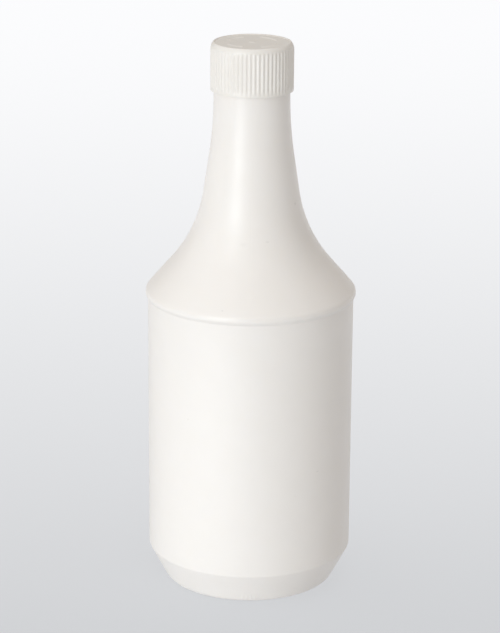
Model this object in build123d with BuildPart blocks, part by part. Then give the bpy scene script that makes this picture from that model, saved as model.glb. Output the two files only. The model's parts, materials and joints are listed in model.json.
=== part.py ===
from build123d import *
from math import radians, tan
import os

# A round blow-moulded bottle with a ribbed screw cap and the sealing liner inside the cap.
# Millimetres. The bottle's axis is Z, and it stands on the plane Z = 0.

# Base: a push-up floor, the ring that the bottle stands on and a band that leans out to the panel
push_up_height = 3.0
push_up_run = 4.0
push_up_round = 2.0
standing_round = 1.0
standing_width = 6.2
heel_round = 2.8
bevel_height = 13.0
bevel_run = 6.8
bevel_round = 1.5

# Label panel, and the bead that stands out over it at the shoulder
panel_radius = 39.0
panel_height = 99.7
crease_round = 0.5
bead_projection = 0.9
bead_rise = 1.3
bead_foot_round = 1.0
bead_land = 1.5
bead_round = 2.7

# Shoulder cone, neck cone and straight neck, blended by long hollow curves
shoulder_height = 22.7
shoulder_round = 54.5
neck_taper_height = 40.9
neck_taper_run = 6.1
neck_round = 146.0
neck_height = 13.0
neck_step = 1.75
neck_top_round = 0.5

# Threaded finish under the cap
finish_radius = 12.5
finish_height = 15.9
finish_wall = 1.7
finish_foot_round = 0.5
lip_round = 0.4

# Wall of the bottle, and the cone inside it from the neck to the narrower bore
wall = 0.9
bore_cone_height = 1.5
bore_round = 1.0

# Thread: the same ridge stands on the finish and inside the cap, half a pitch apart
thread_pitch = 25.4 / 6
thread_turns = 1.5
thread_height = 1.2
thread_flank_angle = 30.0
thread_top_gap = 2.4
thread_radial_clearance = 0.25
thread_axial_clearance = 0.5
thread_embed = 0.3

# Cap: flat face with a crisp edge, curved shoulder, ribbed skirt, plain band at its foot
cap_wall = 1.55
cap_roof = 1.4
cap_edge_run = 1.1
cap_edge_drop = 1.3
cap_edge_round = 0.3
cap_shoulder_round = 4.1
cap_roof_fillet = 0.6
cap_foot_round = 0.3
cap_foot_gap = 0.3
cap_band_height = 1.3
groove_count = 60
groove_width = 0.8
groove_depth = 0.4
groove_flank_angle = 60.0
groove_top_gap = 1.7

# Liner: a foam disc between the cap's roof and the bottle's lip
liner_thickness = 1.0
liner_clearance = 0.55
liner_edge_chamfer = 0.1

# Part of a straight run that the roundings at its two ends may fill
run_share = 0.98

# Radii and levels that follow
base_radius = panel_radius - bevel_run
standing_radius = base_radius - standing_width
bead_radius = panel_radius + bead_projection
neck_radius = finish_radius + neck_step
shoulder_radius = neck_radius + neck_taper_run
bore_radius = finish_radius - finish_wall

panel_top = bevel_height + panel_height
bead_foot = panel_top + bead_rise
bead_top = bead_foot + bead_land
shoulder_top = bead_top + shoulder_height
taper_top = shoulder_top + neck_taper_height
neck_top = taper_top + neck_height
lip_top = neck_top + finish_height

flank_slope = tan(radians(thread_flank_angle))
thread_overlap = thread_height - thread_radial_clearance
thread_crest_width = thread_pitch / 2 - thread_axial_clearance - flank_slope * thread_overlap
thread_rise = thread_turns * thread_pitch
thread_start = lip_top - thread_top_gap - thread_rise

cap_inner_radius = finish_radius + thread_height + thread_radial_clearance
cap_radius = cap_inner_radius + cap_wall
cap_foot = neck_top + cap_foot_gap
roof_underside = lip_top + liner_thickness
cap_top = roof_underside + cap_roof
groove_foot = cap_foot + cap_band_height
groove_length = cap_top - groove_top_gap - groove_foot
groove_flank = groove_depth / tan(radians(groove_flank_angle))
liner_radius = cap_inner_radius - liner_clearance


def runs_between(corners):
    """The straight runs of an open polyline, as vectors."""
    return [after - before for before, after in zip(corners, corners[1:])]


def fitted_rounds(corners, rounds):
    """The corner roundings of an open polyline, cut back where two of them would not fit on one run."""
    runs = runs_between(corners)
    turns = [before.get_angle(after) for before, after in zip(runs, runs[1:])]
    needs = [round_ * tan(radians(turn / 2)) for round_, turn in zip(rounds, turns)]
    filled = [start + end for start, end in zip([0.0, *needs], [*needs, 0.0])]
    limits = [run.length * run_share for run in runs]
    shares = [limit / max(limit, fill) for limit, fill in zip(limits, filled)]
    return [round_ * min(below, above) for round_, below, above in zip(rounds, shares, shares[1:])]


def inset(corners, distance):
    """The corners of an open polyline whose runs are moved the given distance to its left."""
    lefts = [run.normalized().rotate(Axis.Z, 90) for run in runs_between(corners)]
    sides = zip([lefts[0], *lefts], [*lefts, lefts[-1]])
    return [
        corner + (below + above) * (distance / (1 + below.dot(above)))
        for corner, (below, above) in zip(corners, sides)
    ]


def inset_rounds(corners, rounds, distance):
    """The roundings that stay parallel after an inset: smaller on a left turn, larger on a right turn."""
    runs = runs_between(corners)
    lefts = [before.cross(after).Z > 0 for before, after in zip(runs, runs[1:])]
    return [
        max(0.0, round_ - distance) if left else round_ + distance
        for round_, left in zip(rounds, lefts)
    ]


def thread_ridge(root_radius, height, start):
    """A helical ridge of trapezoid section, sunk a little into its wall. A negative height points inwards."""
    outward = height / abs(height)
    root = -thread_embed * outward
    root_half_width = thread_crest_width / 2 + flank_slope * (abs(height) + thread_embed)
    crest_half_width = thread_crest_width / 2
    with BuildPart() as ridge:
        with BuildLine() as path:
            Helix(thread_pitch, thread_rise, root_radius, center=(0, 0, start))
        with BuildSketch(Plane(path.line @ 0, x_dir=(1, 0, 0), z_dir=path.line % 0)):
            with BuildLine():
                Polyline(
                    (root, root_half_width),
                    (height, crest_half_width),
                    (height, -crest_half_width),
                    (root, -root_half_width),
                    close=True,
                )
            make_face()
        sweep(path=path.line, is_frenet=True)
    return ridge.part


# Bottle: its outline runs from the middle of the floor round the outside to the lip
shell_corners = [
    Vector(0, push_up_height),
    Vector(standing_radius - push_up_run, push_up_height),
    Vector(standing_radius, 0),
    Vector(base_radius, 0),
    Vector(panel_radius, bevel_height),
    Vector(panel_radius, panel_top),
    Vector(bead_radius, bead_foot),
    Vector(bead_radius, bead_top),
    Vector(shoulder_radius, shoulder_top),
    Vector(neck_radius, taper_top),
    Vector(neck_radius, neck_top),
]
shell_rounds = [
    push_up_round,
    standing_round,
    heel_round,
    bevel_round,
    crease_round,
    bead_foot_round,
    bead_round,
    shoulder_round,
    neck_round,
]
finish_corners = [
    Vector(finish_radius, neck_top),
    Vector(finish_radius, lip_top),
    Vector(bore_radius, lip_top),
]
outside_corners = shell_corners + finish_corners
outside_rounds = shell_rounds + [neck_top_round, finish_foot_round, lip_round]

inside_shell = inset(shell_corners, wall)
bore_corners = [
    Vector(inside_shell[-1].X, neck_top - wall - bore_cone_height),
    Vector(bore_radius, neck_top - wall),
    Vector(bore_radius, lip_top),
]
inside_corners = inside_shell[:-1] + bore_corners
inside_rounds = inset_rounds(shell_corners, shell_rounds, wall) + [bore_round, bore_round]

bottle_ridge = thread_ridge(finish_radius, thread_height, thread_start)

with BuildPart() as bottle:
    with BuildSketch(Plane.XZ):
        with BuildLine():
            outside = FilletPolyline(outside_corners, radius=fitted_rounds(outside_corners, outside_rounds))
            inside = FilletPolyline(inside_corners, radius=fitted_rounds(inside_corners, inside_rounds))
            Line(outside @ 0, inside @ 0)
        make_face()
    revolve(axis=Axis.Z)
    add(bottle_ridge)
bottle.part.label = "bottle"

# Cap: a turned section, then the grooves between its ribs and the thread inside it
cap_corners = [
    Vector(0, cap_top),
    Vector(cap_radius - cap_edge_run, cap_top),
    Vector(cap_radius, cap_top - cap_edge_drop),
    Vector(cap_radius, cap_foot),
    Vector(cap_inner_radius, cap_foot),
    Vector(cap_inner_radius, roof_underside),
    Vector(0, roof_underside),
]
cap_rounds = [cap_edge_round, cap_shoulder_round, cap_foot_round, cap_foot_round, cap_roof_fillet]
cap_ridge = thread_ridge(cap_inner_radius, -thread_height, thread_start - thread_pitch / 2)

with BuildPart() as cap:
    with BuildSketch(Plane.XZ):
        with BuildLine():
            section = FilletPolyline(cap_corners, radius=fitted_rounds(cap_corners, cap_rounds))
            Line(section @ 1, section @ 0)
        make_face()
    revolve(axis=Axis.Z)
    with BuildSketch(Plane.XY.offset(groove_foot)):
        with PolarLocations(cap_radius, groove_count):
            Trapezoid(groove_width + 2 * groove_flank, 2 * groove_depth, groove_flank_angle, rotation=90)
    extrude(amount=groove_length, mode=Mode.SUBTRACT)
    add(cap_ridge)
cap.part.label = "cap"

with BuildPart() as cap_liner:
    with BuildSketch(Plane.XY.offset(lip_top)):
        Circle(liner_radius)
    extrude(amount=liner_thickness)
    chamfer(cap_liner.edges(), liner_edge_chamfer)
cap_liner.part.label = "cap_liner"

os.makedirs("parts", exist_ok=True)
export_step(bottle.part, "parts/bottle.step")
export_step(cap.part, "parts/cap.step")
export_step(cap_liner.part, "parts/cap_liner.step")
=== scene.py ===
# %% [markdown]
# # A round plastic bottle with a ribbed screw cap
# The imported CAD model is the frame: it says how big each piece is, where it stands and what it moves with.
# This lesson dresses that frame. Each visible piece is a surface worked out with numpy, because a bottle,
# its cap and its liner are all turned shapes: one outline, carried round an axis, with small marks on top.
# Lengths are in millimetres until a mesh is written, because that is how such a bottle is drawn.

# %% Load the frame
import json
from math import radians

import bpy
import numpy as np
from mathutils import Matrix, Vector


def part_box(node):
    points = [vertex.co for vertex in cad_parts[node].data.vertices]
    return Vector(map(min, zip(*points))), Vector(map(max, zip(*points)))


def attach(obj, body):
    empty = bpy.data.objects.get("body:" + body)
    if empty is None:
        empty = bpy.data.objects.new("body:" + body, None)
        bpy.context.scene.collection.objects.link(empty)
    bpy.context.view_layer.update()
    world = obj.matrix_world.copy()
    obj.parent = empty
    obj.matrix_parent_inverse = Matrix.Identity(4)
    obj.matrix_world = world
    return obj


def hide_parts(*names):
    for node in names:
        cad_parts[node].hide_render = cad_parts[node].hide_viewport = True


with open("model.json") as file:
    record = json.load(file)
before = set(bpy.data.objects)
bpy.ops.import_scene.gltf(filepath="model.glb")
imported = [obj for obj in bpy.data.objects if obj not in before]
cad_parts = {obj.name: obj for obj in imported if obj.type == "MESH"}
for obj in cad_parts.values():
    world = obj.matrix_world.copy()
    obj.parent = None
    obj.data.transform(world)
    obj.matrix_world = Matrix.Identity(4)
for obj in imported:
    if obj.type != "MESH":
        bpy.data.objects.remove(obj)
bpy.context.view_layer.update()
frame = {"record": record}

MM = 0.001
mounts = {mount["name"]: mount for mount in frame["record"]["mounts"]}
bottle_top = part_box("bottle")[1] / MM
cap_low, cap_high = (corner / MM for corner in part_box("cap"))
liner_low, liner_high = (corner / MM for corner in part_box("cap_liner"))

# %% [markdown]
# ## Camera
# The photograph was taken from a little above with a long lens, so the bottle's sides stay almost parallel.
# The camera comes first, because every later choice is compared with the photograph through it. Its lens,
# place, tilt and small roll come from fitting the bottle's outline, as ellipses at known heights. Colours
# are shown through the Standard view, because Blender's film-like default would grey the whites.

# %% Camera
LENS_MM = 144.16
CAMERA_PLACE = Vector((-0.2, -919.5, 400.2)) * MM
CAMERA_TILT, CAMERA_ROLL = radians(72.142), radians(0.382)

camera = bpy.data.objects.new("photo_camera", bpy.data.cameras.new("photo_camera"))
camera.data.lens = LENS_MM
aim = Matrix.Rotation(CAMERA_TILT, 4, "X") @ Matrix.Rotation(CAMERA_ROLL, 4, "Z")
camera.matrix_world = Matrix.Translation(CAMERA_PLACE) @ aim
bpy.context.scene.collection.objects.link(camera)
bpy.context.scene.camera = camera
bpy.context.scene.view_settings.view_transform = "Standard"
print("camera: lens", LENS_MM, "mm, looking down", round(90 - np.degrees(CAMERA_TILT), 1), "degrees")

# %% [markdown]
# ## Outlines
# A turned piece is drawn as half of its section: corners at known radii and heights, each with a rounding.
# A Bevel modifier could round the corners afterwards, but then one width would serve them all. Here each
# corner has its own tangent arc. A point is one complex number, radius + i * height, so that turning left
# is multiplying by i and the arcs need no matrices.

# %% Outline helpers
# A difference this small counts as nothing
TINY = 1e-6


def headings(path):
    """Unit directions of the straight runs between the points of a path."""
    runs = np.diff(path)
    return runs / np.abs(runs)


def turns(path):
    """Angle by which the path turns at each inner corner, positive to the left."""
    along = headings(path)
    return np.angle(along[1:] / along[:-1])


def inset(path, distance):
    """The path moved to its left: each corner goes along the sum of its two left normals,
    a + b, by distance / (1 + a . b), so that both runs end up the same distance away."""
    left = 1j * headings(path)
    before, after = np.append(left[:1], left), np.append(left, left[-1:])
    return path + (before + after) * distance / (1 + (before * after.conj()).real)


def rounded(path, rounds, step=radians(9), chord=2.0):
    """The path with tangent arcs in its corners. An arc of radius r in a turn t starts r * tan(t / 2)
    before its corner, and its points are start + heading * r * (sin b + i * side * (1 - cos b)),
    where b grows in steps of at most the given angle, and at most one chord of length apart."""
    arcs = [path[:1]]
    for corner, heading, turn, radius in zip(path[1:-1], headings(path), turns(path), rounds):
        swept = np.linspace(0, abs(turn), 2 + int(abs(turn) * max(1 / step, radius / chord)))
        start = corner - heading * radius * np.tan(abs(turn) / 2)
        arcs.append(start + heading * radius * (np.sin(swept) + 1j * np.sign(turn) * (1 - np.cos(swept))))
    return np.concatenate([*arcs, path[-1:]])


def divided(outline, spacing):
    """The outline with each run cut into equal steps no longer than spacing, one length or one per run."""
    steps = np.ceil(np.abs(np.diff(outline)) / spacing - TINY).astype(int)
    ends = np.append(0, np.cumsum(steps))
    return np.interp(np.arange(ends[-1] + 1), ends, outline)


def outward(outline):
    """Unit normals of an outline that keeps its material on the left: the tangent turned to the right."""
    tangent = np.gradient(outline)
    return -1j * tangent / np.abs(tangent)


def smooth_step(value, low, high):
    """0 below low, 1 above high, and 3 t^2 - 2 t^3 between them."""
    share = np.clip((value - low) / (high - low), 0, 1)
    return share * share * (3 - 2 * share)


print("outline helpers: headings, turns, inset, rounded, divided, outward, smooth_step")

# %% [markdown]
# ## From an outline to a mesh
# Blender's Spin or Screw could carry the outline round the axis, but then every column would be alike. A
# grid of our own may have its columns closer together where a mark needs them, and each grid point may stand
# a little in or out. The grid closes on itself round the axis, and its two ends are single points with fans,
# so the surface has no open seam. Its UV map has the angle across and the length along the outline upwards.


# %% Turned surface
def four_corners(grid):
    """The four corners of each cell of a grid, in the order that makes a turned surface face outwards."""
    return np.stack([grid[:-1, :-1], grid[:-1, 1:], grid[1:, 1:], grid[1:, :-1]], axis=2)


def turned_surface(name, points, angles):
    """Object from points[row, column] = radius + i * height, in mm, at the given angles about Z.
    x = radius * cos(angle), y = radius * sin(angle), z = height. The first and last rows are the poles."""
    inner = points[1:-1]
    rows, columns = inner.shape
    places = np.stack([inner.real * np.cos(angles), inner.real * np.sin(angles), inner.imag], axis=2)
    poles = np.array([[0, 0, points[0, 0].imag], [0, 0, points[-1, 0].imag]])
    vertices = np.concatenate([places.reshape(-1, 3), poles]) * MM

    index = np.arange(rows * columns).reshape(rows, columns)
    index = np.hstack([index, index[:, :1]])
    quads = four_corners(index).reshape(-1, 4)
    first_pole = np.full(columns, rows * columns)
    first_fan = np.stack([first_pole, index[0, 1:], index[0, :-1]], axis=1)
    last_fan = np.stack([index[-1, :-1], index[-1, 1:], first_pole + 1], axis=1)

    across = np.append((angles - angles[0]) / (2 * np.pi), 1)
    length = np.append(0, np.cumsum(np.abs(np.diff(points.mean(axis=1)))))
    upward = length / length[-1]
    chart = np.stack(np.broadcast_arrays(across, upward[1:-1, None]), axis=2)
    middle = (across[1:] + across[:-1]) / 2
    bottom = np.stack([middle, np.zeros(columns)], axis=1)
    top = np.stack([middle, np.ones(columns)], axis=1)
    chart_first = np.stack([bottom, chart[0, 1:], chart[0, :-1]], axis=1)
    chart_last = np.stack([chart[-1, :-1], chart[-1, 1:], top], axis=1)
    chart_values = np.concatenate([part.ravel() for part in (four_corners(chart), chart_first, chart_last)])

    mesh = bpy.data.meshes.new(name)
    mesh.from_pydata(vertices, [], [*quads.tolist(), *first_fan.tolist(), *last_fan.tolist()])
    mesh.uv_layers.new(name="angle_and_length").uv.foreach_set("vector", chart_values)
    mesh.shade_smooth()
    piece = bpy.data.objects.new(name, mesh)
    bpy.context.scene.collection.objects.link(piece)
    triangles = 2 * len(quads) + 2 * columns
    print(name, "rows", rows, "columns", columns, "triangles", triangles)
    return piece


print("turned_surface: closed grid of quads with a fan at each pole")

# %% [markdown]
# ## Screw thread
# The bottle's neck and the cap carry the same right-handed ridge: six turns to the inch, one and a half
# turns long, with sloping sides. It could be a swept profile fused into the wall. As a height on the wall's
# own grid it needs no fusing, and the wall and the ridge are one skin, as they are in the moulding.

# %% Thread
THREAD_PITCH = 25.4 / 6
THREAD_TURNS = 1.5
THREAD_HEIGHT = 1.2
THREAD_FLANK = radians(30)
THREAD_TOP_GAP = 2.4
THREAD_RADIAL_CLEARANCE = 0.25
THREAD_AXIAL_CLEARANCE = 0.5
THREAD_END_TAPER = 0.03

lip_top = bottle_top.z
thread_rise = THREAD_TURNS * THREAD_PITCH
thread_start = lip_top - THREAD_TOP_GAP - thread_rise
flank_run = np.tan(THREAD_FLANK) * THREAD_HEIGHT
thread_overlap = THREAD_HEIGHT - THREAD_RADIAL_CLEARANCE
crest_half = (THREAD_PITCH / 2 - THREAD_AXIAL_CLEARANCE - np.tan(THREAD_FLANK) * thread_overlap) / 2
root_half = crest_half + flank_run


def thread_height(angles, heights, start):
    """Ridge height over a wall. The ridge's middle is at start + pitch * turn, the height falls from its
    full value at the crest's edge to 0 at the root's edge, and both ends taper off within a few degrees."""
    ridge = np.zeros(np.broadcast(angles, heights).shape)
    for lap in range(int(np.ceil(THREAD_TURNS))):
        turn = angles % (2 * np.pi) / (2 * np.pi) + lap
        off_centre = np.abs(heights - start - THREAD_PITCH * turn)
        flank = np.clip((root_half - off_centre) / flank_run, 0, 1)
        first_end = smooth_step(turn, 0, THREAD_END_TAPER)
        last_end = smooth_step(THREAD_TURNS - turn, 0, THREAD_END_TAPER)
        ridge = np.maximum(ridge, THREAD_HEIGHT * flank * first_end * last_end)
    return ridge


print("thread: crest", round(2 * crest_half, 2), "mm wide, root", round(2 * root_half, 2), "mm wide")

# %% [markdown]
# ## Bottle
# The bottle is blown from a soft tube inside a two-part mould. That gives it an even wall, a push-up in the
# base so that it stands on a ring, a band that leans out to the label panel, a rounded bead over the panel,
# and a long hollow shoulder. Its section runs up the outside, over the lip and down the inside. The neck's
# top edge is drawn 0.15 mm higher and crisper than on the solid, and the cap's foot over it is crisper too,
# so that only a hair of shade shows between them.

# %% Bottle outline
PUSH_UP_HEIGHT, PUSH_UP_RUN, PUSH_UP_ROUND = 3.0, 4.0, 2.0
STANDING_WIDTH, STANDING_ROUND, HEEL_ROUND = 6.2, 1.0, 2.8
BEVEL_HEIGHT, BEVEL_RUN, BEVEL_ROUND = 13.0, 6.8, 1.5
PANEL_HEIGHT, CREASE_ROUND = 99.7, 0.5
BEAD_RISE, BEAD_LAND, BEAD_FOOT_ROUND, BEAD_ROUND = 1.3, 1.5, 1.0, 2.7
SHOULDER_HEIGHT, SHOULDER_ROUND = 22.7, 54.5
NECK_TAPER_HEIGHT, NECK_TAPER_RUN, NECK_ROUND = 40.9, 6.1, 146.0
NECK_STEP, NECK_TOP_ROUND = 1.75, 0.15
FINISH_RADIUS, FINISH_HEIGHT, FINISH_WALL = 12.5, 15.75, 1.7
FINISH_FOOT_ROUND, LIP_ROUND, LIP_INNER_ROUND = 0.5, 0.4, 0.2
WALL, BORE_CONE_HEIGHT, BORE_ROUND = 0.9, 1.5, 1.0

panel_radius = mounts["label_panel"]["dims"]["r_mm"]
bead_radius = bottle_top.x
base_radius = panel_radius - BEVEL_RUN
standing_radius = base_radius - STANDING_WIDTH
push_up_radius = standing_radius - PUSH_UP_RUN
neck_radius = FINISH_RADIUS + NECK_STEP
bore_radius = FINISH_RADIUS - FINISH_WALL
panel_top = BEVEL_HEIGHT + PANEL_HEIGHT
bead_foot = panel_top + BEAD_RISE
bead_top = bead_foot + BEAD_LAND
shoulder_top = bead_top + SHOULDER_HEIGHT
taper_top = shoulder_top + NECK_TAPER_HEIGHT
neck_top = lip_top - FINISH_HEIGHT
thread_low = thread_start - root_half
thread_high = thread_start + thread_rise + root_half

shell = np.array([
    0 + 1j * PUSH_UP_HEIGHT,
    push_up_radius + 1j * PUSH_UP_HEIGHT,
    standing_radius,
    base_radius,
    panel_radius + 1j * BEVEL_HEIGHT,
    panel_radius + 1j * panel_top,
    bead_radius + 1j * bead_foot,
    bead_radius + 1j * bead_top,
    neck_radius + NECK_TAPER_RUN + 1j * shoulder_top,
    neck_radius + 1j * taper_top,
    neck_radius + 1j * neck_top,
])
shell_rounds = np.array([
    PUSH_UP_ROUND, STANDING_ROUND, HEEL_ROUND, BEVEL_ROUND, CREASE_ROUND,
    BEAD_FOOT_ROUND, BEAD_ROUND, SHOULDER_ROUND, NECK_ROUND,
])
inside = inset(shell, WALL)
inside_rounds = np.maximum(shell_rounds - np.sign(turns(shell)) * WALL, 0)
finish = np.array([
    FINISH_RADIUS + 1j * neck_top,
    FINISH_RADIUS + 1j * thread_low,
    FINISH_RADIUS + 1j * thread_high,
    FINISH_RADIUS + 1j * lip_top,
    bore_radius + 1j * lip_top,
    bore_radius + 1j * (neck_top - WALL),
    inside[-1].real + 1j * (neck_top - WALL - BORE_CONE_HEIGHT),
])
finish_rounds = [
    NECK_TOP_ROUND, FINISH_FOOT_ROUND, 0, 0, LIP_ROUND, LIP_INNER_ROUND, BORE_ROUND, BORE_ROUND,
]
bottle_path = np.concatenate([shell, finish, inside[-2::-1]])
bottle_arcs = rounded(bottle_path, [*shell_rounds, *finish_rounds, *inside_rounds[::-1]])
print("bottle outline:", len(bottle_path), "corners,", len(bottle_arcs), "points with their arcs")

# %% [markdown]
# ### Grid of the bottle
# An even grid that is fine enough for the thread and the parting line would need millions of faces. So the
# rows are close together only on the thread and on the base band, and the columns crowd together at the
# front and the back, where the two halves of the mould met.

# %% Bottle grid
OUTER_ROW, INNER_ROW, THREAD_ROW, BEVEL_ROW = 3.0, 8.0, 0.25, 0.6
COLUMN_COUNT, CROWDING = 280, 0.92

run_middles = (bottle_arcs[1:] + bottle_arcs[:-1]) / 2
past_lip = np.arange(len(run_middles)) >= np.argmax(bottle_arcs.imag)
on_thread = (run_middles.imag > thread_low) & (run_middles.imag < thread_high) & ~past_lip
on_bevel = (run_middles.real > standing_radius) & (run_middles.imag < BEVEL_HEIGHT) & ~past_lip
row_spacing = np.select([on_thread, on_bevel, past_lip], [THREAD_ROW, BEVEL_ROW, INNER_ROW], OUTER_ROW)
bottle_outline = divided(bottle_arcs, row_spacing)
radii, heights = bottle_outline.real[:, None], bottle_outline.imag[:, None]
is_outside = (np.arange(len(bottle_outline)) < np.argmax(bottle_outline.imag))[:, None]

even = np.arange(COLUMN_COUNT) * 2 * np.pi / COLUMN_COUNT
from_back = even - CROWDING * np.sin(2 * even) / 2
bottle_angles = np.pi / 2 + from_back
print("bottle grid:", len(bottle_outline), "rows of", COLUMN_COUNT, "columns")

# %% [markdown]
# ### Marks of the mould
# The mould leaves a fine parting line down the front and the back, a weld across the base where the tube
# was pinched shut, and small vent marks at the heel beside the parting line. A bump map could draw them, but
# they are raised plastic, so they are heights on the grid, each a bell curve across its line. The parting
# line fades out on the bead, which is the widest place and stays as wide as the solid.

# %% Mould marks
PARTING_HEIGHT, PARTING_WIDTH, PARTING_LOW, PARTING_FULL = 0.015, 0.16, 0.5, 2.5
WELD_HEIGHT, WELD_WIDTH = 0.25, 0.5
VENT_HEIGHT, VENT_WIDTH, VENT_PITCH, VENT_COUNT = 0.12, 0.35, 1.55, 4
VENT_LOW, VENT_HIGH, VENT_FADE = 1.7, 4.2, 0.6

from_line = ((from_back + np.pi / 2) % np.pi - np.pi / 2) * radii
on_shell = is_outside & (radii > FINISH_RADIUS + NECK_TOP_ROUND / 2) & (heights < neck_top)
off_bead = np.clip((bead_radius - radii) / BEAD_FOOT_ROUND, 0, 1)
parting_window = smooth_step(heights, PARTING_LOW, PARTING_FULL) * off_bead * on_shell
parting = PARTING_HEIGHT * np.exp(-(from_line / PARTING_WIDTH) ** 2) * parting_window

on_floor = is_outside & (radii < push_up_radius) & (heights < BEVEL_HEIGHT)
weld_window = (1 - smooth_step(radii, push_up_radius - PUSH_UP_RUN, push_up_radius)) * on_floor
weld = WELD_HEIGHT * np.exp(-(radii * np.cos(bottle_angles) / WELD_WIDTH) ** 2) * weld_window

vent_places = (np.arange(VENT_COUNT) - (VENT_COUNT - 1) / 2) * VENT_PITCH
vent_bells = np.exp(-((from_line[..., None] - vent_places) / VENT_WIDTH) ** 2).sum(axis=-1)
above_vents = smooth_step(heights, VENT_HIGH - VENT_FADE, VENT_HIGH)
vent_window = smooth_step(heights, VENT_LOW - VENT_FADE, VENT_LOW) * (1 - above_vents)
at_heel = is_outside & (radii > standing_radius + STANDING_WIDTH / 2)
vents = VENT_HEIGHT * vent_bells * vent_window * at_heel
for mark, height in (("parting line", parting), ("weld", weld), ("vent marks", vents)):
    print(mark, "up to", round(float(height.max()), 3), "mm")

# %% Bottle surface
on_finish = is_outside & (heights > neck_top + FINISH_FOOT_ROUND)
ridge = thread_height(bottle_angles, heights, thread_start) * on_finish
relief = parting + weld + vents + ridge

bottle_points = bottle_outline[:, None] + outward(bottle_outline)[:, None] * relief
bottle_shell = turned_surface("bottle_shell", bottle_points, bottle_angles)
print("bottle relief:", round(float(relief.min()), 2), "to", round(float(relief.max()), 2), "mm")

# %% [markdown]
# ## Cap
# The cap is injection moulded: a cup with sixty ribs on its skirt for the fingers, a plain band at its foot
# and a rounded top edge. The top face is sunk a hair below its rim. The section runs from the underside of
# the roof down the threaded inside, round the foot and up the skirt to the middle of the face.

# %% Cap outline
CAP_WALL, CAP_ROOF = 1.55, 1.4
CAP_EDGE_RUN, CAP_EDGE_DROP, CAP_EDGE_ROUND = 1.1, 1.3, 0.3
CAP_SHOULDER_ROUND, CAP_FOOT_ROUND, CAP_ROOF_FILLET = 4.1, 0.12, 0.6
FACE_RIM, FACE_RECESS, FACE_STEP, FACE_ROUND = 0.35, 0.25, 0.25, 0.1

cap_radius = cap_high.x
cap_inner_radius = cap_radius - CAP_WALL
roof_underside = cap_high.z - CAP_ROOF
rim_radius = cap_radius - CAP_EDGE_RUN - FACE_RIM
face_radius = rim_radius - FACE_STEP
face_level = cap_high.z - FACE_RECESS
cap_thread_start = thread_start - THREAD_PITCH / 2
cap_path = np.array([
    0 + 1j * roof_underside,
    cap_inner_radius + 1j * roof_underside,
    cap_inner_radius + 1j * (cap_thread_start + thread_rise + root_half),
    cap_inner_radius + 1j * (cap_thread_start - root_half),
    cap_inner_radius + 1j * cap_low.z,
    cap_radius + 1j * cap_low.z,
    cap_radius + 1j * (cap_high.z - CAP_EDGE_DROP),
    cap_radius - CAP_EDGE_RUN + 1j * cap_high.z,
    rim_radius + 1j * cap_high.z,
    face_radius + 1j * face_level,
    0 + 1j * face_level,
])
skirt_rounds = [CAP_ROOF_FILLET, 0, 0, CAP_FOOT_ROUND, CAP_FOOT_ROUND, CAP_SHOULDER_ROUND]
cap_arcs = rounded(cap_path, [*skirt_rounds, CAP_EDGE_ROUND, FACE_ROUND, FACE_ROUND])
print("cap outline: radius", round(cap_radius, 2), "mm, height", round(cap_high.z - cap_low.z, 1), "mm")

# %% Cap grid
CAP_ROW, CAP_THREAD_ROW, CAP_TOP_ROW = 1.0, 0.35, 0.3
GROOVE_COUNT, GROOVE_COLUMNS = 60, 8

cap_middles = (cap_arcs[1:] + cap_arcs[:-1]) / 2
cap_past_foot = np.arange(len(cap_middles)) >= np.argmin(cap_arcs.imag)
cap_on_thread = ~cap_past_foot & (np.abs(np.diff(cap_arcs).real) < TINY)
cap_on_top = cap_past_foot & (cap_middles.real < rim_radius)
cap_spacing = np.select([cap_on_thread, cap_on_top], [CAP_THREAD_ROW, CAP_TOP_ROW], CAP_ROW)
cap_outline = divided(cap_arcs, cap_spacing)
cap_radii, cap_heights = cap_outline.real[:, None], cap_outline.imag[:, None]
cap_outside = (np.arange(len(cap_outline)) > np.argmin(cap_outline.imag))[:, None]

cap_columns = GROOVE_COUNT * GROOVE_COLUMNS
cap_angles = np.arange(cap_columns) * 2 * np.pi / cap_columns
print("cap grid:", len(cap_outline), "rows of", cap_columns, "columns")

# %% [markdown]
# ### Ribs and marks of the cap
# The grooves between the ribs could be cut with booleans, but at this size a height on the grid is cleaner:
# eight columns to a groove draw it as a soft flute, one wave of a cosine, which fades out at both its ends.
# The round nib of the injection gate is in the middle of the face, inside a ring of plain raised arcs.

# %% Ribs
CAP_BAND_HEIGHT, GROOVE_DEPTH = 1.3, 0.3
GROOVE_TOP_GAP, GROOVE_TOP_FADE, GROOVE_FOOT_FADE = 1.7, 0.7, 0.35

groove_foot = cap_low.z + CAP_BAND_HEIGHT
groove_top = cap_high.z - GROOVE_TOP_GAP
above_grooves = smooth_step(cap_heights, groove_top - GROOVE_TOP_FADE, groove_top)
groove_window = smooth_step(cap_heights, groove_foot, groove_foot + GROOVE_FOOT_FADE) * (1 - above_grooves)
on_skirt = cap_outside & (cap_radii > cap_inner_radius)
flutes = (1 + np.cos(GROOVE_COUNT * cap_angles)) / 2
grooves = GROOVE_DEPTH * flutes * groove_window * on_skirt
print("cap grooves:", GROOVE_COUNT, "at", round(2 * np.pi * cap_radius / GROOVE_COUNT, 2), "mm pitch")

# %% Marks on the face
GATE_RADIUS, GATE_HEIGHT = 1.3, 0.25
ARC_COUNT, ARC_RADIUS, ARC_WIDTH, ARC_HEIGHT = 4, 9.4, 1.1, 0.25
ARC_SHARE, ARC_END_FADE = 0.55, 0.01

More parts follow.
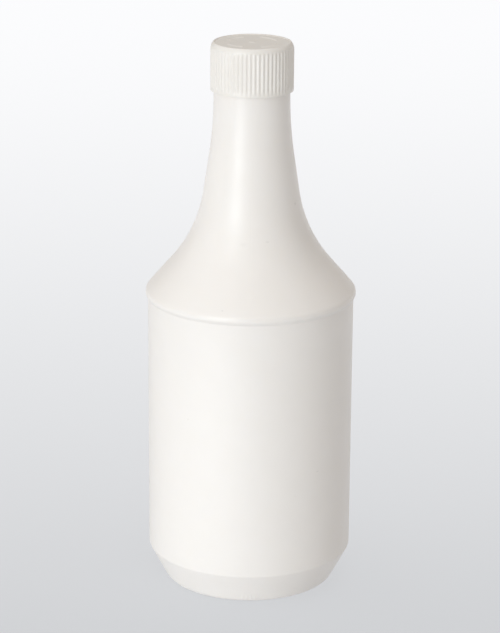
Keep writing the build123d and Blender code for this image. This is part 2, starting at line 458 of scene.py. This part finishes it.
on_face = cap_outside & (cap_radii < face_radius)
gate = GATE_HEIGHT * (1 - smooth_step(cap_radii, GATE_RADIUS / 2, GATE_RADIUS))
from_arc_middle = np.abs((cap_angles * ARC_COUNT / (2 * np.pi)) % 1 - 0.5)
arc_end = ARC_SHARE / 2
arc_window = 1 - smooth_step(from_arc_middle, arc_end - ARC_END_FADE, arc_end + ARC_END_FADE)
arc_section = np.clip((ARC_WIDTH / 2 - np.abs(cap_radii - ARC_RADIUS)) / ARC_HEIGHT, 0, 1)
marks = (gate + ARC_HEIGHT * arc_section * arc_window) * on_face
print("cap face: gate nib", 2 * GATE_RADIUS, "mm across and", ARC_COUNT, "arcs at", ARC_RADIUS, "mm")

# %% Cap surface
inner_wall = ~cap_outside & (cap_radii > cap_inner_radius - TINY)
cap_ridge = thread_height(cap_angles, cap_heights, cap_thread_start) * inner_wall
cap_relief = cap_ridge - grooves + marks

cap_points = cap_outline[:, None] + outward(cap_outline)[:, None] * cap_relief
screw_cap = turned_surface("screw_cap", cap_points, cap_angles)
print("cap relief:", round(float(cap_relief.min()), 2), "to", round(float(cap_relief.max()), 2), "mm")

# %% [markdown]
# ## Sealing liner
# A disc punched from a sheet of foam lies under the cap's roof and is pressed on the bottle's lip. Punching
# draws its edge in a little, so the edge is rounded. It is hidden while the cap is on. A cylinder with a
# Bevel would do as well, but the helpers for turned pieces are at hand and give the same kind of UV map.

# %% Liner
LINER_EDGE_ROUND, LINER_ROW, LINER_COLUMNS = 0.15, 1.2, 180

liner_radius = liner_high.x
liner_path = np.array([
    0 + 1j * liner_low.z,
    liner_radius + 1j * liner_low.z,
    liner_radius + 1j * liner_high.z,
    0 + 1j * liner_high.z,
])
liner_outline = divided(rounded(liner_path, [LINER_EDGE_ROUND, LINER_EDGE_ROUND]), LINER_ROW)
liner_points = np.tile(liner_outline[:, None], LINER_COLUMNS)
liner_angles = np.arange(LINER_COLUMNS) * 2 * np.pi / LINER_COLUMNS
sealing_liner = turned_surface("sealing_liner", liner_points, liner_angles)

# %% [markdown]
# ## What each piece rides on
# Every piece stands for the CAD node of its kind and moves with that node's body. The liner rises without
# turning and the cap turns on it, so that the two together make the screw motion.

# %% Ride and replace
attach(bottle_shell, "bottle")
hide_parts("bottle")
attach(screw_cap, "cap")
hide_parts("cap")
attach(sealing_liner, "cap_liner")
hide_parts("cap_liner")
pieces = (bottle_shell, screw_cap, sealing_liner)

# %% [markdown]
# ## Colour and nodes
# Colours are written as sRGB hex values, as a colour picker gives them, and shaders need linear light. One
# small function adds a node, sets its properties and fills its inputs: a socket is linked, a number is set.


# %% Colour and node helpers
def linear(hex_colour):
    """Linear RGBA of an sRGB hex colour: c / 12.92 below 0.04045, else ((c + 0.055) / 1.055) ^ 2.4."""
    srgb = np.array([int(hex_colour[at:at + 2], 16) / 255 for at in (1, 3, 5)])
    light = np.where(srgb <= 0.04045, srgb / 12.92, ((srgb + 0.055) / 1.055) ** 2.4)
    return (*light.tolist(), 1.0)


def add_node(material, kind, inputs=(), **settings):
    """A new node of the given kind. inputs maps a socket's name or number to a value or to a socket."""
    node = material.node_tree.nodes.new(kind)
    for name, value in settings.items():
        setattr(node, name, value)
    for name, value in dict(inputs).items():
        if isinstance(value, bpy.types.NodeSocket):
            material.node_tree.links.new(value, node.inputs[name])
        else:
            node.inputs[name].default_value = value
    return node


def new_material(name):
    """An empty node material and its output node."""
    material = bpy.data.materials.new(name)
    material.use_nodes = True
    material.node_tree.nodes.clear()
    return material, material.node_tree.nodes.new("ShaderNodeOutputMaterial")


print("mid grey in linear light:", [round(channel, 3) for channel in linear("#808080")])

# %% [markdown]
# ## White HDPE, blow-moulded
# Polyethylene is a little translucent and never as glossy as glass: the blown skin copies a fine sandblasted
# mould, so highlights are broad and soft. The tube that it was blown from leaves faint lines along the
# bottle, the wall is not perfectly even, and the skin carries a few specks and scuffs from handling. Painted
# image textures could hold all this, but noise with a size in millimetres stays sharp from close by. The few
# specks are small soft ellipsoids, each at its own place on the skin.

# %% HDPE specks
SPECK_COLOUR, SPECK_CORE = "#A9A29A", 0.4
# Angle from the front in degrees, height, half width, half height, strength
SPECKS = [
    (-7.4, 138.9, 1.4, 0.9, 0.05),
    (15.9, 139.7, 0.9, 0.3, 0.16),
    (61.8, 151.0, 1.0, 0.7, 0.14),
    (-15.8, 117.8, 0.5, 0.4, 0.16),
    (-36.3, 73.6, 0.4, 0.4, 0.12),
    (40.9, 52.4, 0.9, 0.25, 0.16),
    (26.0, 44.6, 0.4, 0.4, 0.08),
]


def skin_radius(height):
    """Radius of the bottle's outside at a height, read off its outline."""
    skin = bottle_outline[: np.argmax(bottle_outline.imag)]
    rising = skin[np.argmin(skin.imag):]
    return float(np.interp(height, rising.imag, rising.real))


hdpe, hdpe_output = new_material("white_HDPE_blow_moulded")
place = add_node(hdpe, "ShaderNodeTexCoord")
specks = 0.0
for angle, height, half_width, half_height, strength in SPECKS:
    across, radius = radians(angle), skin_radius(height)
    centre = Vector((radius * np.sin(across), -radius * np.cos(across), height)) * MM
    reach = Vector((half_width, half_width, half_height)) * MM
    local = add_node(
        hdpe, "ShaderNodeMapping",
        {"Vector": place.outputs["Object"], "Location": centre, "Scale": reach},
        vector_type="TEXTURE",
    )
    away = add_node(hdpe, "ShaderNodeVectorMath", {0: local.outputs[0]}, operation="LENGTH")
    speck = add_node(hdpe, "ShaderNodeMapRange", {
        "Value": away.outputs["Value"],
        "From Min": SPECK_CORE,
        "From Max": 1.0,
        "To Min": strength,
        "To Max": 0.0,
    })
    specks = add_node(hdpe, "ShaderNodeMath", {0: specks, 1: speck.outputs[0]}, operation="ADD").outputs[0]
print(hdpe.name, "specks", len(SPECKS))

# %% HDPE colour and gloss
HDPE_COLOUR, HDPE_MOTTLE, HDPE_MOTTLE_MM = "#F4EEE8", "#F1EBE4", 9.0
HDPE_ROUGH_LOW, HDPE_ROUGH_HIGH = 0.36, 0.43
# Most values of a noise texture lie between these two
NOISE_LOW, NOISE_HIGH = 0.3, 0.7

mottle = add_node(hdpe, "ShaderNodeTexNoise", {
    "Vector": place.outputs["Object"],
    "Scale": 1 / (HDPE_MOTTLE_MM * MM),
    "Detail": 4.0,
})
tone = add_node(
    hdpe, "ShaderNodeMix",
    {"Factor": mottle.outputs[0], 6: linear(HDPE_COLOUR), 7: linear(HDPE_MOTTLE)},
    data_type="RGBA",
)
marked = add_node(
    hdpe, "ShaderNodeMix",
    {"Factor": specks, 6: tone.outputs[2], 7: linear(SPECK_COLOUR)},
    data_type="RGBA",
)
rough = add_node(hdpe, "ShaderNodeMapRange", {
    "Value": mottle.outputs[0],
    "From Min": NOISE_LOW,
    "From Max": NOISE_HIGH,
    "To Min": HDPE_ROUGH_LOW,
    "To Max": HDPE_ROUGH_HIGH,
})
print(hdpe.name, "roughness", HDPE_ROUGH_LOW, "to", HDPE_ROUGH_HIGH)

# %% HDPE relief
WAVE_MM, WAVE_DEPTH = 22.0, 0.12
DIE_LINE_MM, DIE_LINE_DEPTH, DIE_LINE_LENGTHS = 1.6, 0.010, 2.0
# The real grain is finer, but would not show at the photograph's size
GRAIN_MM, GRAIN_DEPTH = 0.45, 0.006

wave = add_node(hdpe, "ShaderNodeTexNoise", {
    "Vector": place.outputs["Object"],
    "Scale": 1 / (WAVE_MM * MM),
    "Detail": 1.0,
})
lines_around = 2 * np.pi * panel_radius / DIE_LINE_MM
stretched = add_node(hdpe, "ShaderNodeMapping", {
    "Vector": place.outputs["UV"],
    "Scale": (lines_around, DIE_LINE_LENGTHS, 1.0),
})
die_lines = add_node(hdpe, "ShaderNodeTexNoise", {
    "Vector": stretched.outputs[0],
    "Scale": 1.0,
    "Detail": 2.0,
})
grain = add_node(hdpe, "ShaderNodeTexNoise", {
    "Vector": place.outputs["Object"],
    "Scale": 1 / (GRAIN_MM * MM),
    "Detail": 2.0,
})
normal = None
for texture, depth in ((wave, WAVE_DEPTH), (die_lines, DIE_LINE_DEPTH), (grain, GRAIN_DEPTH)):
    bump_inputs = {"Height": texture.outputs[0], "Distance": depth * MM}
    if normal:
        bump_inputs["Normal"] = normal
    normal = add_node(hdpe, "ShaderNodeBump", bump_inputs).outputs[0]
print(hdpe.name, "bumps: wave", WAVE_MM, "mm, die lines", DIE_LINE_MM, "mm, grain", GRAIN_MM, "mm")

# %% HDPE shader
HDPE_IOR, HDPE_SCATTER, HDPE_SCATTER_MM = 1.54, 0.12, 1.5
# Red light travels furthest inside a white plastic, and blue light the least
SCATTER_RADIUS = (1.0, 0.9, 0.75)

shader = add_node(hdpe, "ShaderNodeBsdfPrincipled", {
    "Base Color": marked.outputs[2],
    "Roughness": rough.outputs[0],
    "IOR": HDPE_IOR,
    "Normal": normal,
    "Subsurface Weight": HDPE_SCATTER,
    "Subsurface Radius": SCATTER_RADIUS,
    "Subsurface Scale": HDPE_SCATTER_MM * MM,
})
hdpe.node_tree.links.new(shader.outputs[0], hdpe_output.inputs[0])
bottle_shell.data.materials.append(hdpe)
print(hdpe.name, "nodes", len(hdpe.node_tree.nodes))

# %% [markdown]
# ## White polypropylene, injection-moulded
# The cap is harder and a shade warmer than the bottle. An injection mould is polished more than a blow
# mould, so the skin is smoother, with only a slight orange peel and some fine handling wear. It could share
# the bottle's material, but then cap and bottle would look like one moulding.

# %% Injection-moulded polypropylene
PP_COLOUR, PP_MOTTLE, PP_MOTTLE_MM = "#EFEAE3", "#ECE6DE", 5.0
PP_ROUGH_LOW, PP_ROUGH_HIGH = 0.32, 0.42
PEEL_MM, PEEL_DEPTH = 0.6, 0.004
PP_IOR, PP_SCATTER, PP_SCATTER_MM = 1.49, 0.1, 1.0

polypropylene, polypropylene_output = new_material("white_polypropylene_injection_moulded")
place = add_node(polypropylene, "ShaderNodeTexCoord")
mottle = add_node(polypropylene, "ShaderNodeTexNoise", {
    "Vector": place.outputs["Object"],
    "Scale": 1 / (PP_MOTTLE_MM * MM),
    "Detail": 4.0,
})
tone = add_node(
    polypropylene, "ShaderNodeMix",
    {"Factor": mottle.outputs[0], 6: linear(PP_COLOUR), 7: linear(PP_MOTTLE)},
    data_type="RGBA",
)
rough = add_node(polypropylene, "ShaderNodeMapRange", {
    "Value": mottle.outputs[0],
    "From Min": NOISE_LOW,
    "From Max": NOISE_HIGH,
    "To Min": PP_ROUGH_LOW,
    "To Max": PP_ROUGH_HIGH,
})
peel = add_node(polypropylene, "ShaderNodeTexNoise", {
    "Vector": place.outputs["Object"],
    "Scale": 1 / (PEEL_MM * MM),
    "Detail": 2.0,
})
skin = add_node(polypropylene, "ShaderNodeBump", {"Height": peel.outputs[0], "Distance": PEEL_DEPTH * MM})
shader = add_node(polypropylene, "ShaderNodeBsdfPrincipled", {
    "Base Color": tone.outputs[2],
    "Roughness": rough.outputs[0],
    "IOR": PP_IOR,
    "Normal": skin.outputs[0],
    "Subsurface Weight": PP_SCATTER,
    "Subsurface Radius": SCATTER_RADIUS,
    "Subsurface Scale": PP_SCATTER_MM * MM,
})
polypropylene.node_tree.links.new(shader.outputs[0], polypropylene_output.inputs[0])
screw_cap.data.materials.append(polypropylene)
print(polypropylene.name, "nodes", len(polypropylene.node_tree.nodes))

# %% [markdown]
# ## Polyethylene foam
# The liner is a closed-cell foam. Its cells are about a third of a millimetre across, and they break the
# surface into small dull pits, whose middles are drawn darker: painted shade in the hollows. Noise would
# blur them together, so a Voronoi pattern draws one pit to a cell.

# %% Closed-cell foam
# The second colour is painted shade, for the middle of each pit
FOAM_COLOUR, FOAM_PIT_SHADE = "#F4F4F1", "#DEDDD8"
FOAM_IOR, FOAM_ROUGH, CELL_MM, CELL_DEPTH = 1.5, 0.75, 0.35, 0.05

foam, foam_output = new_material("polyethylene_foam_closed_cell")
place = add_node(foam, "ShaderNodeTexCoord")
cells = add_node(foam, "ShaderNodeTexVoronoi", {
    "Vector": place.outputs["Object"],
    "Scale": 1 / (CELL_MM * MM),
})
# Painted shade: the colour darkens towards each cell's middle, where the bump sinks into a pit
tone = add_node(
    foam, "ShaderNodeMix",
    {"Factor": cells.outputs["Distance"], 6: linear(FOAM_PIT_SHADE), 7: linear(FOAM_COLOUR)},
    data_type="RGBA",
)
pits = add_node(foam, "ShaderNodeBump", {"Height": cells.outputs["Distance"], "Distance": CELL_DEPTH * MM})
shader = add_node(foam, "ShaderNodeBsdfPrincipled", {
    "Base Color": tone.outputs[2],
    "Roughness": FOAM_ROUGH,
    "IOR": FOAM_IOR,
    "Normal": pits.outputs[0],
})
foam.node_tree.links.new(shader.outputs[0], foam_output.inputs[0])
sealing_liner.data.materials.append(foam)
print(foam.name, "cells", CELL_MM, "mm")

# %% [markdown]
# ## Floor
# The bottle stands on a pale sweep that is light grey in front and fades to white behind. Most of the
# floor's light is its own, so that it stays as even as in the studio, and the rest takes a soft shadow at
# the foot.

# %% Floor
FLOOR_HALF = 6000.0
FLOOR_NEAR, FLOOR_FAR = "#CDCFD2", "#F7F8FA"
FLOOR_NEAR_Y, FLOOR_FAR_Y, FLOOR_FALL = -60.0, 1190.0, 2.1
FLOOR_GLOW, FLOOR_STRENGTH = 0.65, 1.22

floor_mesh = bpy.data.meshes.new("floor")
floor_corners = np.array([(-1, -1, 0), (1, -1, 0), (1, 1, 0), (-1, 1, 0)]) * FLOOR_HALF * MM
floor_mesh.from_pydata(floor_corners, [], [(0, 1, 2, 3)])
floor = bpy.data.objects.new("floor", floor_mesh)
bpy.context.scene.collection.objects.link(floor)

sweep, sweep_output = new_material("pale_studio_sweep")
place = add_node(sweep, "ShaderNodeTexCoord")
split = add_node(sweep, "ShaderNodeSeparateXYZ", {0: place.outputs["Object"]})
nearness = add_node(sweep, "ShaderNodeMapRange", {
    "Value": split.outputs["Y"],
    "From Min": FLOOR_NEAR_Y * MM,
    "From Max": FLOOR_FAR_Y * MM,
    "To Min": 1.0,
    "To Max": 0.0,
})
fall = add_node(sweep, "ShaderNodeMath", {0: nearness.outputs[0], 1: FLOOR_FALL}, operation="POWER")
shade = add_node(
    sweep, "ShaderNodeMix",
    {"Factor": fall.outputs[0], 6: linear(FLOOR_FAR), 7: linear(FLOOR_NEAR)},
    data_type="RGBA",
)
glow = add_node(sweep, "ShaderNodeEmission", {"Color": shade.outputs[2], "Strength": FLOOR_STRENGTH})
paper = add_node(sweep, "ShaderNodeBsdfDiffuse", {"Color": shade.outputs[2]})
blend = add_node(sweep, "ShaderNodeMixShader", {0: FLOOR_GLOW, 1: paper.outputs[0], 2: glow.outputs[0]})
sweep.node_tree.links.new(blend.outputs[0], sweep_output.inputs[0])
floor.data.materials.append(sweep)
print("floor: grey", FLOOR_NEAR, "in front to", FLOOR_FAR, "behind")

# %% [markdown]
# ## Light
# One tall softbox stands to the left in front and draws the long soft highlight on the neck. Its lower part
# is the brighter one, so it is made of two area lights. A dim strip close to the table stands for the light
# that the pale table throws back on the lower half. All three stand upright and face the bottle's axis. They
# are linked to the bottle's own pieces, because on the floor they would draw bright bands. The room light is
# bright overhead and dim and warm at the horizon, and fills the side that turns away from the softbox. What
# shows of the room past the floor's edge is a pale backdrop, which lights nothing.

# %% Softbox and table bounce
KEY_TURN, KEY_COLOUR = radians(-33), (0.885, 0.95, 1.0)
# Each panel: distance from the axis, width, lower edge, upper edge, power in watts
LIGHT_PANELS = {
    "softbox_low": (1100.0, 400.0, 60.0, 300.0, 3.4),
    "softbox_high": (1100.0, 400.0, 315.0, 1000.0, 3.5),
    "table_bounce": (200.0, 240.0, 1.0, 31.0, 0.043),
}

lit_pieces = bpy.data.collections.new("lit_pieces")
for piece in pieces:
    lit_pieces.objects.link(piece)

upright = Matrix.Rotation(radians(90), 4, "X")
to_key_side = Matrix.Rotation(KEY_TURN, 4, "Z")
for name, (distance, width, lower, upper, power) in LIGHT_PANELS.items():
    panel = bpy.data.objects.new(name, bpy.data.lights.new(name, "AREA"))
    panel.light_linking.receiver_collection = lit_pieces
    panel.data.shape = "RECTANGLE"
    panel.data.size = width * MM
    panel.data.size_y = (upper - lower) * MM
    panel.data.energy = power
    panel.data.color = KEY_COLOUR
    in_front = Matrix.Translation(Vector((0, -distance, (lower + upper) / 2)) * MM)
    panel.matrix_world = to_key_side @ in_front @ upright
    bpy.context.scene.collection.objects.link(panel)
    print(name, power, "W,", width, "by", upper - lower, "mm at", distance, "mm")

# %% Room light
ROOM_LOW, ROOM_HIGH = (0.13, 0.11, 0.08, 1.0), (1.06, 1.045, 1.04, 1.0)
ROOM_BRIGHT_SIDE, ROOM_FALL = Vector((-0.04, 0.0, 1.0)).normalized(), 2.85
BACKDROP_COLOUR = "#F9FAFC"

world = bpy.data.worlds.new("room")
world.use_nodes = True
direction = add_node(world, "ShaderNodeTexCoord")
facing = add_node(
    world, "ShaderNodeVectorMath",
    {0: direction.outputs["Generated"], 1: ROOM_BRIGHT_SIDE},
    operation="DOT_PRODUCT",
)
share = add_node(world, "ShaderNodeMapRange", {
    "Value": facing.outputs["Value"],
    "From Min": -1.0,
    "From Max": 1.0,
})
fall = add_node(world, "ShaderNodeMath", {0: share.outputs[0], 1: ROOM_FALL}, operation="POWER")
room = add_node(
    world, "ShaderNodeMix",
    {"Factor": fall.outputs[0], 6: ROOM_LOW, 7: ROOM_HIGH},
    data_type="RGBA",
)
ray = add_node(world, "ShaderNodeLightPath")
seen = add_node(
    world, "ShaderNodeMix",
    {"Factor": ray.outputs["Is Camera Ray"], 6: room.outputs[2], 7: linear(BACKDROP_COLOUR)},
    data_type="RGBA",
)
world.node_tree.links.new(seen.outputs[2], world.node_tree.nodes["Background"].inputs["Color"])
bpy.context.scene.world = world
print("room light from", ROOM_LOW[:3], "below to", ROOM_HIGH[:3], "above")
